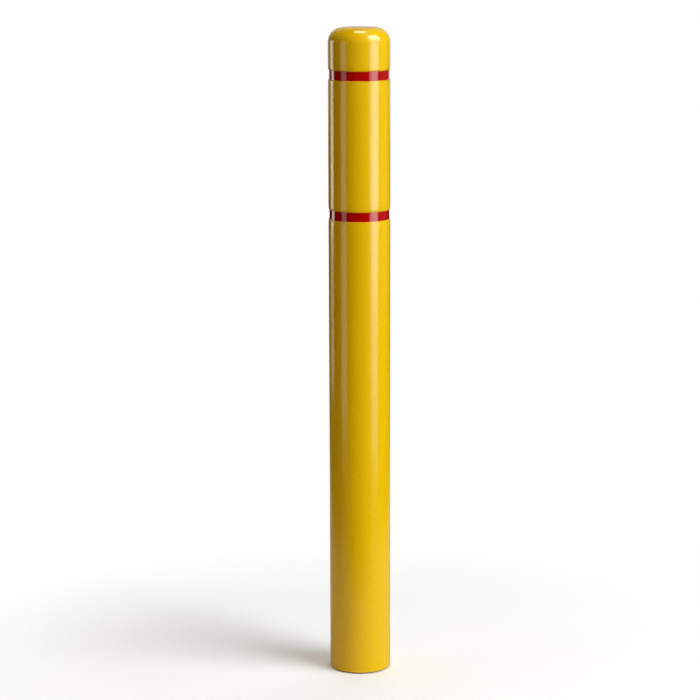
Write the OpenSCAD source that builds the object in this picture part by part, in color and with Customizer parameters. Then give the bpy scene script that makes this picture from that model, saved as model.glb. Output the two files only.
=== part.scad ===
// Bollard cover: a sleeve of moulded polyethylene with a rounded, closed top and an open foot.
// It drops over a steel post. Two shallow grooves near the top hold strips of red reflective tape.
// Millimetres, +Z up. The origin is the middle of the open foot, level with the ground.

/* [Cover] */
// Height from the foot to the middle of the crown
cover_h = 1422; // [1000:1:1900]
// Inside diameter of the plain wall, which passes over the post
bore_d = 128; // [115:0.5:200]
// Thickness of the moulded wall
wall_t = 3.2; // [2:0.1:6]
// Outside radius of the rounded shoulder
shoulder_r = 32; // [12:0.5:45]
// Outside radius of the shallow crown
crown_r = 1007; // [400:1:2500]
// Rounding of the foot's outer edge
foot_outer_r = 1.2; // [0.2:0.1:1.2]
// Rounding of the foot's inner edge
foot_inner_r = 0.6; // [0.1:0.1:0.6]

/* [Grooves] */
// Depth of a groove below the outside of the wall
groove_depth = 2.4; // [2.4:0.1:3]
// Rounding of the soft lip above a groove
upper_lip_r = 2.1; // [0.5:0.1:2.1]
// Rounding of the crisper lip below a groove
lower_lip_r = 1; // [0.3:0.1:1.8]
// Rounding where a groove's floor turns out to its sides
floor_edge_r = 0.3; // [0.1:0.05:0.3]
// Drop from the crown to the middle of the upper groove
upper_drop = 101.5; // [75:0.5:160]
// Distance between the middles of the two grooves
groove_pitch = 301; // [60:1:450]

/* [Tape] */
// Width of a strip of tape
tape_w = 20; // [12:0.1:26]
// Thickness of the tape with its adhesive
tape_t = 0.25; // [0.1:0.05:0.5]
// Level floor left bare above and below a strip
tape_margin = 0.3; // [0:0.05:1]
// Length of a strip's end that laps over its start
lap_len = 12; // [4:0.5:30]
// Length over which the strip climbs on to its start
climb_len = 1.2; // [0.8:0.1:3]
// Direction of the upper strip's cut end, where 90 is the back
upper_end_angle = 97; // [0:1:360]
// Direction of the lower strip's cut end, where 90 is the back
lower_end_angle = 86; // [0:1:360]

/* [Hidden] */
$fn = 180;

bore_r = bore_d / 2;
outer_r = bore_r + wall_t;
floor_r = outer_r - groove_depth;
floor_w = tape_w + 2 * tape_margin;
upper_z = cover_h - upper_drop;
lower_z = upper_z - groove_pitch;
// How far a cut runs past the face that it opens, and how far joined areas overlap
past = 1;
// How far the shoulder arc stands proud of the crown arc where the two meet
proud = 0.002;

// Point at a distance and a direction from the axis
function polar(r, a) = r * [cos(a), sin(a)];

// Angle that a length takes up round a circle
function length_angle(length, r) = length / r * 180 / PI;

// Half section of a round-topped solid. The straight side runs up into a shoulder arc, and a wide
// crown arc trims the top. The shoulder stands the slightest bit proud of it, so the two cross.
module domed_outline(r, h, shoulder, crown) {
    hub_x = r - shoulder;
    hub_y = sqrt(pow(crown - shoulder, 2) - pow(hub_x, 2)) - crown + proud;
    meet_x = hub_x * crown / (crown - shoulder);
    square([r, h - shoulder - past]);
    translate([0, h]) {
        translate([0, hub_y - shoulder]) square([r, shoulder]);
        intersection() {
            union() {
                translate([0, hub_y]) square([meet_x, past - hub_y]);
                translate([hub_x, hub_y]) circle(shoulder);
            }
            translate([0, hub_y]) square([r + past, past - hub_y]);
            translate([0, -crown]) circle(crown);
        }
    }
}

// What a rounding takes off a square corner at the origin that has its solid on +X and +Y
module corner_waste(r) {
    difference() {
        translate([-past, -past]) square(r + past);
        translate([r, r]) circle(r);
    }
}

// The section that a groove takes out of the wall, about Y = 0
module groove_waste() {
    side_y = floor_w / 2 + floor_edge_r;
    difference() {
        translate([floor_r, -side_y]) square([groove_depth + past, 2 * side_y]);
        for (up = [0, 1]) mirror([0, up]) translate([floor_r, -side_y]) corner_waste(floor_edge_r);
    }
    translate([outer_r, side_y]) mirror([1, 0]) corner_waste(upper_lip_r);
    translate([outer_r, -side_y]) rotate(180) corner_waste(lower_lip_r);
}

// The section of the ridge behind a groove. Its rounded edges share their centres with the edges
// of the groove's floor, so the wall is as thick there as elsewhere.
module ridge() {
    translate([floor_r - wall_t, -floor_w / 2]) square([wall_t, floor_w]);
    for (side = [-1, 1])
        translate([floor_r + floor_edge_r, side * floor_w / 2]) circle(floor_edge_r + wall_t);
}

// The moulded shell
module cover() {
    color("gold") rotate_extrude() difference() {
        domed_outline(outer_r, cover_h, shoulder_r, crown_r);
        difference() {
            translate([0, -past])
                domed_outline(bore_r, cover_h - wall_t + past, shoulder_r - wall_t, crown_r - wall_t);
            for (z = [upper_z, lower_z]) translate([0, z]) ridge();
        }
        for (z = [upper_z, lower_z]) translate([0, z]) groove_waste();
        translate([outer_r, 0]) mirror([1, 0]) corner_waste(foot_outer_r);
        translate([bore_r, 0]) corner_waste(foot_inner_r);
    }
}

// A strip of tape on the floor of a groove. It goes once round, climbs on to its own start and
// ends a lap further on. The polygon's slanted side, from low to high, is the climb.
module tape(z, end_angle) {
    tape_r = floor_r + tape_t;
    start_angle = end_angle - length_angle(lap_len, tape_r);
    low = polar(tape_r, start_angle - length_angle(climb_len, tape_r));
    high = polar(tape_r + tape_t, start_angle);
    spare = (high - low) / 2;
    color("firebrick") translate([0, 0, z - tape_w / 2]) linear_extrude(tape_w) difference() {
        union() {
            circle(tape_r);
            intersection() {
                circle(tape_r + tape_t);
                polygon([[0, 0], low - spare, high + spare, polar(2 * tape_r, end_angle)]);
            }
        }
        circle(floor_r);
    }
}

module upper_tape() tape(upper_z, upper_end_angle);

module lower_tape() tape(lower_z, lower_end_angle);

cover();
upper_tape();
lower_tape();
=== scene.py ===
# A bollard cover: a tall sleeve of yellow polyethylene with two bands of red reflective tape,
# standing on a white studio floor. Metres, +Z up, with the origin in the middle of the foot.
import math

import bpy
import numpy as np
from mathutils import Matrix, Vector


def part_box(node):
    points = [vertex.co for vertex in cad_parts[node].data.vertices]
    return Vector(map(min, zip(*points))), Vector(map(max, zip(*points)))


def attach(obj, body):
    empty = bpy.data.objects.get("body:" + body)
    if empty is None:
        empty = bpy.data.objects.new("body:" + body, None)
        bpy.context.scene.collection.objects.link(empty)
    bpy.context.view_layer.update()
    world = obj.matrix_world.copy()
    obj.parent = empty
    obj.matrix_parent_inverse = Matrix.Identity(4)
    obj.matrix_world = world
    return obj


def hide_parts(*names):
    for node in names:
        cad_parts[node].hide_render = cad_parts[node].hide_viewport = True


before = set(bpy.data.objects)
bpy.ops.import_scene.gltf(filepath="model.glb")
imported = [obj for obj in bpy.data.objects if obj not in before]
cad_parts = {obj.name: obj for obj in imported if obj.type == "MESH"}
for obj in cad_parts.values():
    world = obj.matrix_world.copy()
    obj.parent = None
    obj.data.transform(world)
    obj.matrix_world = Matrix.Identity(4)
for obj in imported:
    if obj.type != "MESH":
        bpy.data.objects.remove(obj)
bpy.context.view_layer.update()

# The moulded cover.
# One hollow moulding of yellow polyethylene, about 3 mm thick, with a closed top and an open foot.
# The wall steps in at two grooves near the top, softly from above and sharply from below, and the
# inside follows it. The skin is semi-gloss, with the fine orange peel that a blasted mould leaves.
MM = 0.001


def box_mm(node):
    """The lowest and highest corner of a CAD node, in millimetres to a tenth."""
    low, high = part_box(node)
    return [round(v / MM, 1) for v in low], [round(v / MM, 1) for v in high]


# The sizes of the moulding, in millimetres. The frame gives its height, its width and its grooves.
OUTER_R, COVER_H = box_mm("cover")[1][0], box_mm("cover")[1][2]
GROOVE_Z = [(box_mm(node)[0][2] + box_mm(node)[1][2]) / 2 for node in ("lower_tape", "upper_tape")]
WALL_T = 3.2
BORE_R = OUTER_R - WALL_T
SHOULDER_R = 32.0
CROWN_R = 1007.0
SHOULDER_Z = COVER_H - CROWN_R + math.sqrt((CROWN_R - SHOULDER_R) ** 2 - (OUTER_R - SHOULDER_R) ** 2)
FOOT_OUTER_ACROSS = 1.5
FOOT_OUTER_UP = 2.2
FOOT_GUARD = 0.1
FOOT_INNER_R = 0.6

# A groove has a level floor, a rounded lip below it, and above it a lip that draws in slowly.
# Under the lower lip the wall is a trace hollow, so that the lip catches the light as a bead.
GROOVE_DEPTH = 2.4
FLOOR_R = OUTER_R - GROOVE_DEPTH
HALF_FLOOR = 10.3
FLOOR_EDGE_R = 0.3
LOWER_LIP_R = 1.2
HOLLOW_DEPTH = 0.12
HOLLOW_REACH = 12.0
UPPER_LIP_ACROSS = 1.6
UPPER_LIP_UP = 2.6
DRAW_IN = 0.5
DRAW_REACH = 15.0


def arc(centre, radius, start, end, steps):
    """Points of an arc in the section, as (distance from the axis, height), angles in degrees."""
    turns = np.radians(np.linspace(start, end, steps + 1))
    return [(centre[0] + radius * math.cos(t), centre[1] + radius * math.sin(t)) for t in turns]


def straight(low, high, radius, pitch=9.0, guard=0.35):
    """Points of a straight wall, with a close point at each end so that the shading stays flat."""
    heights = np.linspace(low + guard, high - guard, max(2, round((high - low) / pitch)))
    return [(radius, z) for z in heights]


def dome(wall, height, shoulder, crown, steps):
    """The shoulder and crown arcs, up to the axis. Outside and inside share their centres."""
    hub_x = wall - shoulder
    meet = math.degrees(math.acos(hub_x / (crown - shoulder)))
    points = arc((hub_x, SHOULDER_Z), shoulder, 0, meet, steps)
    points += arc((0, height - crown), crown, meet, 90, 8)[1:]
    points[-1] = (0.0, height)
    return points


def hollow_inset(drop):
    """How far in the wall stands at a depth below a groove's lower lip. It is deepest at a third."""
    t = drop / HOLLOW_REACH
    return HOLLOW_DEPTH * 27 / 4 * t * (1 - t) ** 2


def lip_inset(rise):
    """How far in the wall stands at a height above a groove's upper side."""
    across = 1 - min(rise / UPPER_LIP_UP, 1)
    round_part = UPPER_LIP_ACROSS * (1 - math.sqrt(1 - across ** 2))
    slow_part = DRAW_IN * (1 - min(rise / DRAW_REACH, 1)) ** 2
    return round_part + slow_part


def groove_section(z):
    """The outside of a groove from below to above: a crisp lip, the floor, and a soft lip."""
    side = HALF_FLOOR + FLOOR_EDGE_R
    lip = z - side - LOWER_LIP_R
    edge_x = FLOOR_R + FLOOR_EDGE_R
    points = [(OUTER_R - hollow_inset(lip - h), h) for h in np.linspace(lip - HOLLOW_REACH, lip, 13)[:-1]]
    points += arc((OUTER_R - LOWER_LIP_R, lip), LOWER_LIP_R, 0, 90, 6)
    points += arc((edge_x, z - HALF_FLOOR), FLOOR_EDGE_R, 270, 180, 4)
    points += straight(z - HALF_FLOOR, z + HALF_FLOOR, FLOOR_R, pitch=7.0, guard=0.2)
    points += arc((edge_x, z + HALF_FLOOR), FLOOR_EDGE_R, 180, 90, 4)
    for step in np.linspace(0, 1, 15)[1:]:
        rise = step * step * DRAW_REACH
        points.append((OUTER_R - lip_inset(rise), z + side + rise))
    return points


outside = [(OUTER_R - FOOT_OUTER_ACROSS - FOOT_GUARD, 0.0)]
for t in np.radians(np.linspace(-90, 0, 8)):
    outside.append((OUTER_R - FOOT_OUTER_ACROSS * (1 - math.cos(t)), FOOT_OUTER_UP * (1 + math.sin(t))))
level = FOOT_OUTER_UP
for groove_z in GROOVE_Z:
    groove = groove_section(groove_z)
    outside += straight(level, groove[0][1], OUTER_R) + groove
    level = groove[-1][1]
outside += straight(level, SHOULDER_Z, OUTER_R) + dome(OUTER_R, COVER_H, SHOULDER_R, CROWN_R, 26)

# Behind a groove the inside bulges in by as much, round the same centres as the floor's edges. The
# ridge's arcs stop short of the bore, and a step of a tenth leads over to it.
RIDGE_TURN = 67
BLEND_STEP = 0.12
BLEND_FROM = 3.4
BLEND_TO = 3.9


def ridge_section(z):
    """The inside of a groove from below to above: a ridge that keeps the wall's thickness."""
    low, high = z - HALF_FLOOR, z + HALF_FLOOR
    edge_x, edge_r = FLOOR_R + FLOOR_EDGE_R, FLOOR_EDGE_R + WALL_T
    points = [(BORE_R, low - BLEND_TO), (BORE_R - BLEND_STEP, low - BLEND_FROM)]
    points += arc((edge_x, low), edge_r, 180 + RIDGE_TURN, 180, 6)
    points += straight(low, high, BORE_R - GROOVE_DEPTH, pitch=7.0)
    points += arc((edge_x, high), edge_r, 180, 180 - RIDGE_TURN, 6)
    points += [(BORE_R - BLEND_STEP, high + BLEND_FROM), (BORE_R, high + BLEND_TO)]
    return points


inside = [(BORE_R + 2 * FOOT_INNER_R, 0.0)]
inside += arc((BORE_R + FOOT_INNER_R, FOOT_INNER_R), FOOT_INNER_R, 270, 180, 4)
level = FOOT_INNER_R
for groove_z in GROOVE_Z:
    ridge = ridge_section(groove_z)
    inside += straight(level, ridge[0][1], BORE_R, pitch=12.0) + ridge
    level = ridge[-1][1]
inside += straight(level, SHOULDER_Z, BORE_R, pitch=12.0)
inside += dome(BORE_R, COVER_H - WALL_T, SHOULDER_R - WALL_T, CROWN_R - WALL_T, 16)

# The long plain walls drew in a little unevenly as they cooled, which bends their reflections.
# A swell has its count of waves round the wall, its pitch up the wall, its phase and its share.
SWELL_DEPTH = 0.11
CALM_TOP = 1375.0
CALM_BY_GROOVE = 26.0
FADE_AT_ENDS = 60.0
FADE_BY_GROOVE = 50.0
wave = np.random.default_rng(11)
SWELLS = [(int(wave.integers(2, 6)), wave.uniform(14, 48), wave.uniform(0, 6.28), wave.uniform(0.4, 1.0))
          for _ in range(9)]


def uneven(z):
    """1 on the long plain walls, falling to 0 at the foot, the grooves and the dome."""
    reach = [z / FADE_AT_ENDS, (CALM_TOP - z) / FADE_AT_ENDS]
    reach += [(abs(z - groove) - CALM_BY_GROOVE) / FADE_BY_GROOVE for groove in GROOVE_Z]
    t = min(max(min(reach), 0.0), 1.0)
    return t * t * (3 - 2 * t)


def swell(angle, z):
    """How far the cooled wall has drawn in at a place, in millimetres, never outwards."""
    total = sum(a * math.sin(n * angle + k * z * MM + p) for n, k, p, a in SWELLS)
    share = 0.5 + 0.5 * total / sum(a for *_, a in SWELLS)
    return SWELL_DEPTH * share * uneven(z)


AROUND = 288


def turned(section):
    """The points and faces of a shape turned from a section that ends on the axis, in metres."""
    rings = section[:-1]
    verts = []
    for radius, z in rings:
        for i in range(AROUND):
            angle = 2 * math.pi * i / AROUND
            r = radius - swell(angle, z)
            verts.append((r * math.cos(angle) * MM, r * math.sin(angle) * MM, z * MM))
    verts.append((0.0, 0.0, section[-1][1] * MM))
    pole = len(verts) - 1
    faces = []
    for k in range(len(rings) - 1):
        for i in range(AROUND):
            a, b = k * AROUND + i, k * AROUND + (i + 1) % AROUND
            faces.append((a, b, b + AROUND, a + AROUND))
    last = (len(rings) - 1) * AROUND
    faces += [(last + i, last + (i + 1) % AROUND, pole) for i in range(AROUND)]
    return verts, faces


outer_verts, outer_faces = turned(outside)
inner_verts, inner_faces = turned(inside)
shift = len(outer_verts)
faces = outer_faces + [tuple(v + shift for v in reversed(face)) for face in inner_faces]
faces += [((i + 1) % AROUND, i, i + shift, (i + 1) % AROUND + shift) for i in range(AROUND)]
cover_mesh = bpy.data.meshes.new("moulded_cover")
cover_mesh.from_pydata(outer_verts + inner_verts, [], faces)
cover_mesh.shade_smooth()
cover_mesh.validate()
cover = bpy.data.objects.new("moulded_cover", cover_mesh)
bpy.context.scene.collection.objects.link(cover)
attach(cover, "root")
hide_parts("cover")


def add(tree, kind, values=None, **settings):
    """A node in a tree, with its settings and then the values of its inputs."""
    node = tree.nodes.new(kind)
    for name, value in settings.items():
        setattr(node, name, value)
    for socket, value in (values or {}).items():
        node.inputs[socket].default_value = value
    return node


def wire(tree, *wires):
    """Links in a tree, each given as a node and its output, then a node and its input."""
    for source, output, target, entry in wires:
        tree.links.new(source.outputs[output], target.inputs[entry])


# The fine relief of a surface: rounded pebbles of one size over slower swells, and a slow stain.
grain = bpy.data.node_groups.new("surface_grain", "ShaderNodeTree")
for name, start in (("Pebble Scale", 300.0), ("Swell Scale", 40.0), ("Swell Share", 0.3)):
    socket = grain.interface.new_socket(name=name, in_out="INPUT", socket_type="NodeSocketFloat")
    socket.default_value = start
for name in ("Height", "Cloud", "Speckle"):
    grain.interface.new_socket(name=name, in_out="OUTPUT", socket_type="NodeSocketFloat")
grain_in = add(grain, "NodeGroupInput")
grain_out = add(grain, "NodeGroupOutput")
where = add(grain, "ShaderNodeTexCoord")
pebble = add(grain, "ShaderNodeTexNoise", {"Detail": 1.5, "Roughness": 0.45})
swells = add(grain, "ShaderNodeTexNoise", {"Detail": 1.0})
cloud = add(grain, "ShaderNodeTexNoise", {"Scale": 9.0, "Detail": 3.0})
height = add(grain, "ShaderNodeMix", data_type="FLOAT")
speckle = add(grain, "ShaderNodeMix", {"Factor": 0.7}, data_type="FLOAT")
wire(grain,
     (where, "Object", pebble, "Vector"),
     (where, "Object", swells, "Vector"),
     (where, "Object", cloud, "Vector"),
     (grain_in, "Pebble Scale", pebble, "Scale"),
     (grain_in, "Swell Scale", swells, "Scale"),
     (grain_in, "Swell Share", height, "Factor"),
     (pebble, "Fac", height, "A"),
     (swells, "Fac", height, "B"),
     (cloud, "Fac", speckle, "A"),
     (pebble, "Fac", speckle, "B"),
     (height, "Result", grain_out, "Height"),
     (cloud, "Fac", grain_out, "Cloud"),
     (speckle, "Result", grain_out, "Speckle"))


def finish_material(name, pale, deep, rough, relief, pebbles, swell_scale, swell_share, ior):
    """A pigmented plastic: two close tones in a fine speckle, and a roughness and relief that vary."""
    made = bpy.data.materials.new(name)
    made.use_nodes = True
    tree = made.node_tree
    shader = tree.nodes["Principled BSDF"]
    shader.inputs["IOR"].default_value = ior
    surface = add(tree, "ShaderNodeGroup", node_tree=grain)
    surface.inputs["Pebble Scale"].default_value = pebbles
    surface.inputs["Swell Scale"].default_value = swell_scale
    surface.inputs["Swell Share"].default_value = swell_share
    tone = add(tree, "ShaderNodeMix", {"A": (*deep, 1), "B": (*pale, 1)}, data_type="RGBA")
    gloss = add(tree, "ShaderNodeMapRange",
                {"From Min": 0.25, "From Max": 0.75, "To Min": rough[0], "To Max": rough[1]})
    bump = add(tree, "ShaderNodeBump", {"Strength": 1.0, "Distance": relief})
    wire(tree,
         (surface, "Speckle", tone, "Factor"),
         (surface, "Cloud", gloss, "Value"),
         (surface, "Height", bump, "Height"),
         (tone, "Result", shader, "Base Color"),
         (gloss, "Result", shader, "Roughness"),
         (bump, "Normal", shader, "Normal"))
    return made


# The outside took the polish of the mould's blasted wall. The inside cooled free and is duller.
yellow = finish_material(
    "yellow_polyethylene", pale=(0.89, 0.587, 0.0012), deep=(0.69, 0.453, 0.001), rough=(0.13, 0.17),
    relief=0.00022, pebbles=240.0, swell_scale=45.0, swell_share=0.2, ior=1.55)
yellow_inside = finish_material(
    "yellow_polyethylene_inside", pale=(0.80, 0.525, 0.002), deep=(0.74, 0.480, 0.001), rough=(0.38, 0.5),
    relief=0.0005, pebbles=150.0, swell_scale=30.0, swell_share=0.5, ior=1.5)
cover_mesh.materials.append(yellow)
cover_mesh.materials.append(yellow_inside)
first_inside = len(outer_faces)
for face in cover_mesh.polygons[first_inside:first_inside + len(inner_faces)]:
    face.material_index = 1

# The bands of tape.
# Two strips of red reflective film on adhesive, 20 mm wide and a quarter of a millimetre thick.
# Each is wrapped by hand round the floor of its groove, and its cut end laps over its start.
TAPE_W = box_mm("upper_tape")[1][2] - box_mm("upper_tape")[0][2]
TAPE_T = 0.25
TAPE_EDGE_R = 0.07
LAP_LEN = 12.0
CLIMB_LEN = 1.2
CLIMB_STEPS = 6
OFF_FLOOR = 0.004
TAPE_PITCH = math.radians(1.25)


def smooth(t):
    """An even climb from 0 to 1 with level ends."""
    t = min(max(t, 0.0), 1.0)
    return t * t * (3 - 2 * t)


def tape_section():
    """The strip's own section as (across, out), counter-clockwise, with its four edges rounded."""
    near, far, top = TAPE_EDGE_R, TAPE_W - TAPE_EDGE_R, TAPE_T - TAPE_EDGE_R
    ring = arc((far, top), TAPE_EDGE_R, 0, 90, 3)
    ring += [(TAPE_W * share, TAPE_T) for share in (0.97, 0.75, 0.5, 0.25, 0.03)]
    ring += arc((near, top), TAPE_EDGE_R, 90, 180, 3)
    ring += arc((near, near), TAPE_EDGE_R, 180, 270, 3)
    ring += arc((far, near), TAPE_EDGE_R, 270, 360, 3)
    return ring


def tape_mesh(name, z, end_angle):
    """A wound strip. It starts a lap before its end and goes once round to climb on its own start."""
    wound_r = FLOOR_R + TAPE_T
    lap, climb = LAP_LEN / wound_r, CLIMB_LEN / wound_r
    start = math.radians(end_angle) - lap
    length = 2 * math.pi + lap
    climb_at = 2 * math.pi - climb
    stations = np.linspace(0, length, round(length / TAPE_PITCH) + 1)
    climb_stations = np.linspace(climb_at, 2 * math.pi, CLIMB_STEPS + 1)
    stations = np.unique(np.concatenate([stations, climb_stations]))
    section = tape_section()
    verts = []
    for s in stations:
        lift = OFF_FLOOR + TAPE_T * smooth((s - climb_at) / climb)
        for across, out in section:
            r = FLOOR_R + lift + out
            height = z - TAPE_W / 2 + across
            verts.append((r * math.cos(start + s) * MM, r * math.sin(start + s) * MM, height * MM))
    count = len(section)
    faces = []
    for k in range(len(stations) - 1):
        for i in range(count):
            a, b = k * count + i, k * count + (i + 1) % count
            faces.append((a, a + count, b + count, b))
    faces.append(tuple(range(count)))
    faces.append(tuple(reversed(range(len(verts) - count, len(verts)))))
    mesh = bpy.data.meshes.new(name)
    mesh.from_pydata(verts, [], faces)
    mesh.shade_smooth()
    mesh.validate()
    return mesh


red = finish_material(
    "red_reflective_film", pale=(0.43, 0.002, 0.0016), deep=(0.39, 0.0016, 0.0012), rough=(0.05, 0.09),
    relief=0.000004, pebbles=900.0, swell_scale=60.0, swell_share=0.5, ior=1.55)
# Both cut ends are near the middle of the back, which lies at 90 degrees.
for band, groove_z, end_angle in (("upper", GROOVE_Z[1], 97), ("lower", GROOVE_Z[0], 86)):
    strip_mesh = tape_mesh(band + "_reflective_strip", groove_z, end_angle)
    strip_mesh.materials.append(red)
    strip = bpy.data.objects.new(band + "_reflective_strip", strip_mesh)
    bpy.context.scene.collection.objects.link(strip)
    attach(strip, "root")
    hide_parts(band + "_tape")

# The paper floor.
# A sheet of white paper under the cover. It keeps the soft shadow and runs out to plain white, and
# it lies a little under the foot, which draws the dark line where the two meet.
FLOOR_HALF = 12.0
FLOOR_DROP = 0.0022
corners = [(-FLOOR_HALF, -FLOOR_HALF, 0), (FLOOR_HALF, -FLOOR_HALF, 0),
           (FLOOR_HALF, FLOOR_HALF, 0), (-FLOOR_HALF, FLOOR_HALF, 0)]
floor_mesh = bpy.data.meshes.new("floor")
floor_mesh.from_pydata(corners, [], [(0, 1, 2, 3)])
floor = bpy.data.objects.new("floor", floor_mesh)
floor.location.z = -FLOOR_DROP
bpy.context.scene.collection.objects.link(floor)

# The camera sees fine paper. The cover sees a duller, warmer sheet that ends about a metre off at
# the sides and nearer in front, with the dark room past it. From below the floor is clear.
paper = bpy.data.materials.new("floor_paper")
paper.use_nodes = True
paper_tree = paper.node_tree
paper_tree.nodes.clear()
paper_out = add(paper_tree, "ShaderNodeOutputMaterial")
seen_by = add(paper_tree, "ShaderNodeLightPath")
facing = add(paper_tree, "ShaderNodeNewGeometry")
spot = add(paper_tree, "ShaderNodeTexCoord")
spot_parts = add(paper_tree, "ShaderNodeSeparateXYZ")
beside = add(paper_tree, "ShaderNodeMath", operation="ABSOLUTE")
in_width = add(paper_tree, "ShaderNodeMapRange", {"From Min": 1.35, "From Max": 0.85},
               interpolation_type="SMOOTHSTEP")
in_depth = add(paper_tree, "ShaderNodeMapRange", {"From Min": -0.95, "From Max": -0.45},
               interpolation_type="SMOOTHSTEP")
on_sheet = add(paper_tree, "ShaderNodeMath", operation="MULTIPLY")
bounced = add(paper_tree, "ShaderNodeMix", {"A": (0.02, 0.02, 0.02, 1), "B": (0.47, 0.42, 0.37, 1)},
              data_type="RGBA")
fibre = add(paper_tree, "ShaderNodeTexNoise", {"Scale": 220.0, "Detail": 1.0})
fine_paper = add(paper_tree, "ShaderNodeMix", {"A": (0.82, 0.875, 0.94, 1), "B": (0.955, 0.985, 1.0, 1)},
                 data_type="RGBA")
paper_tone = add(paper_tree, "ShaderNodeMix", data_type="RGBA")
matte = add(paper_tree, "ShaderNodeBsdfDiffuse")
away = add(paper_tree, "ShaderNodeVectorMath", operation="LENGTH")
run_out = add(paper_tree, "ShaderNodeMapRange", {"From Min": 0.45, "From Max": 1.1},
              interpolation_type="SMOOTHSTEP")
run_out_seen = add(paper_tree, "ShaderNodeMath", operation="MULTIPLY")
plain_white = add(paper_tree, "ShaderNodeEmission")
sheet_or_white = add(paper_tree, "ShaderNodeMixShader")
clear = add(paper_tree, "ShaderNodeBsdfTransparent")
top_or_under = add(paper_tree, "ShaderNodeMixShader")
wire(paper_tree,
     (spot, "Object", spot_parts, "Vector"),
     (spot_parts, "X", beside, 0),
     (beside, "Value", in_width, "Value"),
     (spot_parts, "Y", in_depth, "Value"),
     (in_width, "Result", on_sheet, 0),
     (in_depth, "Result", on_sheet, 1),
     (on_sheet, "Value", bounced, "Factor"),
     (spot, "Object", fibre, "Vector"),
     (fibre, "Fac", fine_paper, "Factor"),
     (bounced, "Result", paper_tone, "A"),
     (fine_paper, "Result", paper_tone, "B"),
     (seen_by, "Is Camera Ray", paper_tone, "Factor"),
     (paper_tone, "Result", matte, "Color"),
     (spot, "Object", away, 0),
     (away, "Value", run_out, "Value"),
     (run_out, "Result", run_out_seen, 0),
     (seen_by, "Is Camera Ray", run_out_seen, 1),
     (run_out_seen, "Value", sheet_or_white, "Fac"),
     (matte, "BSDF", sheet_or_white, 1),
     (plain_white, "Emission", sheet_or_white, 2),
     (facing, "Backfacing", top_or_under, "Fac"),
     (sheet_or_white, "Shader", top_or_under, 1),
     (clear, "BSDF", top_or_under, 2),
     (top_or_under, "Shader", paper_out, "Surface"))
floor_mesh.materials.append(paper)

# The backdrop and the room.
# The camera sees plain white. The cover reflects a pale backdrop that stands behind it and fades
# out to both sides and overhead, and everywhere else a dark, slightly warm room.
world = bpy.data.worlds.new("studio")
bpy.context.scene.world = world
world.use_nodes = True
room_tree = world.node_tree
room_tree.nodes.clear()
world_out = add(room_tree, "ShaderNodeOutputWorld")
ray = add(room_tree, "ShaderNodeLightPath")
way = add(room_tree, "ShaderNodeTexCoord")
way_parts = add(room_tree, "ShaderNodeSeparateXYZ")
turn = add(room_tree, "ShaderNodeMath", operation="ARCTAN2")
off_back = add(room_tree, "ShaderNodeMath", operation="ABSOLUTE")
across = add(room_tree, "ShaderNodeMapRange",
             {"From Min": math.radians(46), "From Max": math.radians(26)}, interpolation_type="SMOOTHSTEP")
aloft = add(room_tree, "ShaderNodeMapRange", {"From Min": 0.77, "From Max": 0.63},
            interpolation_type="SMOOTHSTEP")
on_backdrop = add(room_tree, "ShaderNodeMath", operation="MULTIPLY")
room_tint = add(room_tree, "ShaderNodeMix", {"A": (0.030, 0.020, 0.012, 1), "B": (0.48, 0.46, 0.44, 1)},
                data_type="RGBA")
room = add(room_tree, "ShaderNodeBackground")
seen_white = add(room_tree, "ShaderNodeBackground", {"Color": (1, 1, 1, 1)})
room_or_white = add(room_tree, "ShaderNodeMixShader")
wire(room_tree,
     (way, "Generated", way_parts, "Vector"),
     (way_parts, "X", turn, 0),
     (way_parts, "Y", turn, 1),
     (turn, "Value", off_back, 0),
     (off_back, "Value", across, "Value"),
     (way_parts, "Z", aloft, "Value"),
     (across, "Result", on_backdrop, 0),
     (aloft, "Result", on_backdrop, 1),
     (on_backdrop, "Value", room_tint, "Factor"),
     (room_tint, "Result", room, "Color"),
     (ray, "Is Camera Ray", room_or_white, "Fac"),
     (room, "Background", room_or_white, 1),
     (seen_white, "Background", room_or_white, 2),
     (room_or_white, "Shader", world_out, "Surface"))

# The softboxes.
# White cloth boxes of light stand round the cover and over it, out of the camera's sight. Some only
# show as reflections and some only cast light, because the bright stripes on the wall are narrower
# than the light that models it.
WHITE = (1, 1, 1)


def softbox(name, azimuth, elevation, distance, aim_z, width, height, radiance, colour=WHITE, lights="all"):
    """A softbox that faces a point on the axis. Azimuth 0 is the camera's side, 90 is +X."""
    a, e = math.radians(azimuth), math.radians(elevation)
    outward = Vector((math.sin(a) * math.cos(e), -math.cos(a) * math.cos(e), math.sin(e)))
    data = bpy.data.lights.new(name, "AREA")
    data.shape = "RECTANGLE"
    data.size, data.size_y = width, height
    data.energy = radiance * math.pi * width * height
    data.color = colour
    lamp = bpy.data.objects.new(name, data)
    lamp.location = Vector((0, 0, aim_z)) + outward * distance
    lamp.rotation_mode = "QUATERNION"
    lamp.rotation_quaternion = outward.to_track_quat("Z", "Y")
    lamp.visible_camera = False
    lamp.visible_glossy = lights != "diffuse"
    lamp.visible_diffuse = lights != "glossy"
    bpy.context.scene.collection.objects.link(lamp)
    return lamp


# The key, high on the right: its two reflections on the dome, then its light from further off.
softbox("key_right", 65.5, 33, 5.0, 1.35, 3.85, 3.6, 5.2, lights="glossy")
softbox("key_heart", 67, 36.5, 4.9, 1.35, 2.6, 2.5, 4.8, lights="glossy")
softbox("key_low", 63, 42, 9.5, 1.35, 5.2, 5.2, 3.75, lights="diffuse")
softbox("key_high", 63, 55, 9.3, 1.35, 5.2, 5.2, 3.3, lights="diffuse")
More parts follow.
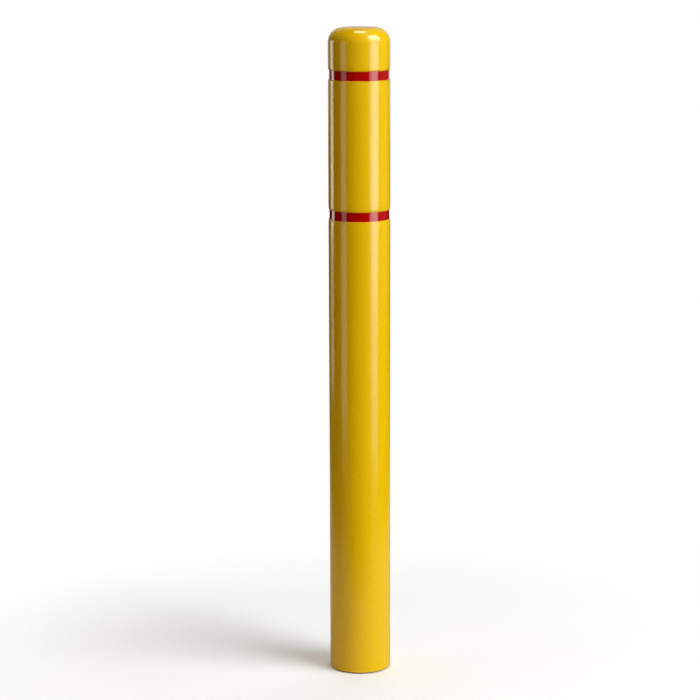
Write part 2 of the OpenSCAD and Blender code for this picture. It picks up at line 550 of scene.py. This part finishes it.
# The tall panel on the right: its bright stripe, the light that it casts, and the pale wall by it.
softbox("panel_right", 57.5, 0, 3.2, 1.30, 2.15, 1.56, 2.2)
softbox("panel_right_low", 57.2, 0, 3.2, 0.29, 1.65, 0.46, 1.85)
softbox("panel_sheen", 59.5, 0, 3.1, 1.18, 1.40, 1.68, 2.1)
softbox("panel_wash", 53, 0, 3.35, 0.9, 2.5, 2.1, 1.1, lights="diffuse")
softbox("panel_glow", 57, 0, 2.0, 0.17, 0.92, 0.33, 1.5, lights="glossy")
softbox("wall_right", 105, 5, 4.5, 1.2, 3.2, 4.0, 0.15, lights="glossy")
# The narrow stripes on the left, and the bright crown.
softbox("strip_left", -60.5, 0, 2.2, 0.975, 0.82, 1.83, 1.35, (1, 0.96, 0.93), lights="glossy")
softbox("strip_far_left", -119, 0, 2.2, 1.16, 0.66, 1.0, 2.4, (1, 0.95, 0.88), lights="glossy")
softbox("strip_far_low", -122, 0, 2.3, 0.92, 0.70, 1.5, 1.3, (1, 0.95, 0.88), lights="glossy")
softbox("overhead", 158, 84, 2.35, 1.42, 0.93, 0.93, 7.0, lights="glossy")
# The broad fills, which soften the shade on the wall, the dome and the floor.
softbox("fill_front", 12, 24, 5.0, 1.0, 8.0, 4.5, 0.98, (1, 0.72, 0.5), lights="diffuse")
softbox("fill_top", 32, 60, 1.4, 1.40, 1.4, 1.4, 0.36, (1, 0.93, 0.85), lights="diffuse")
softbox("low_left", -72, 3, 1.5, 0.15, 1.6, 0.5, 0.75, (1, 0.75, 0.5), lights="diffuse")
sky_left = softbox("sky_left", -97, 0, 2.6, 2.8, 2.0, 2.6, 1.5, lights="diffuse")
sky_left.rotation_quaternion = Vector((0, 0, 1)).to_track_quat("Z", "Y")
softbox("sky_back", 180, 46, 3.5, 0.1, 5.6, 2.4, 1.12, lights="diffuse")

# The camera.
# It stands five metres off, a little above the cover's top, and looks down on it with a long lens.
# Its place, turn and lens are those at which the cover's outline falls on that of the photograph.
CAMERA_AT = (0.0, -5.0674, 1.6822)
PITCH, YAW, ROLL = math.radians(10.7675), math.radians(-0.2412), math.radians(-0.1633)
LENS_MM = 120.905
SENSOR_MM = 36.0
ahead = Vector((math.sin(YAW) * math.cos(PITCH), math.cos(YAW) * math.cos(PITCH), -math.sin(PITCH)))
right = Vector((math.cos(YAW), -math.sin(YAW), 0.0))
up = right.cross(ahead)
right, up = math.cos(ROLL) * right + math.sin(ROLL) * up, math.cos(ROLL) * up - math.sin(ROLL) * right
camera_data = bpy.data.cameras.new("camera")
camera_data.lens = LENS_MM
camera_data.sensor_width = SENSOR_MM
camera = bpy.data.objects.new("camera", camera_data)
camera.matrix_world = Matrix((
    (right.x, up.x, -ahead.x, CAMERA_AT[0]),
    (right.y, up.y, -ahead.y, CAMERA_AT[1]),
    (right.z, up.z, -ahead.z, CAMERA_AT[2]),
    (0, 0, 0, 1),
))
bpy.context.scene.collection.objects.link(camera)
bpy.context.scene.camera = camera
bpy.context.scene.view_settings.view_transform = "Standard"
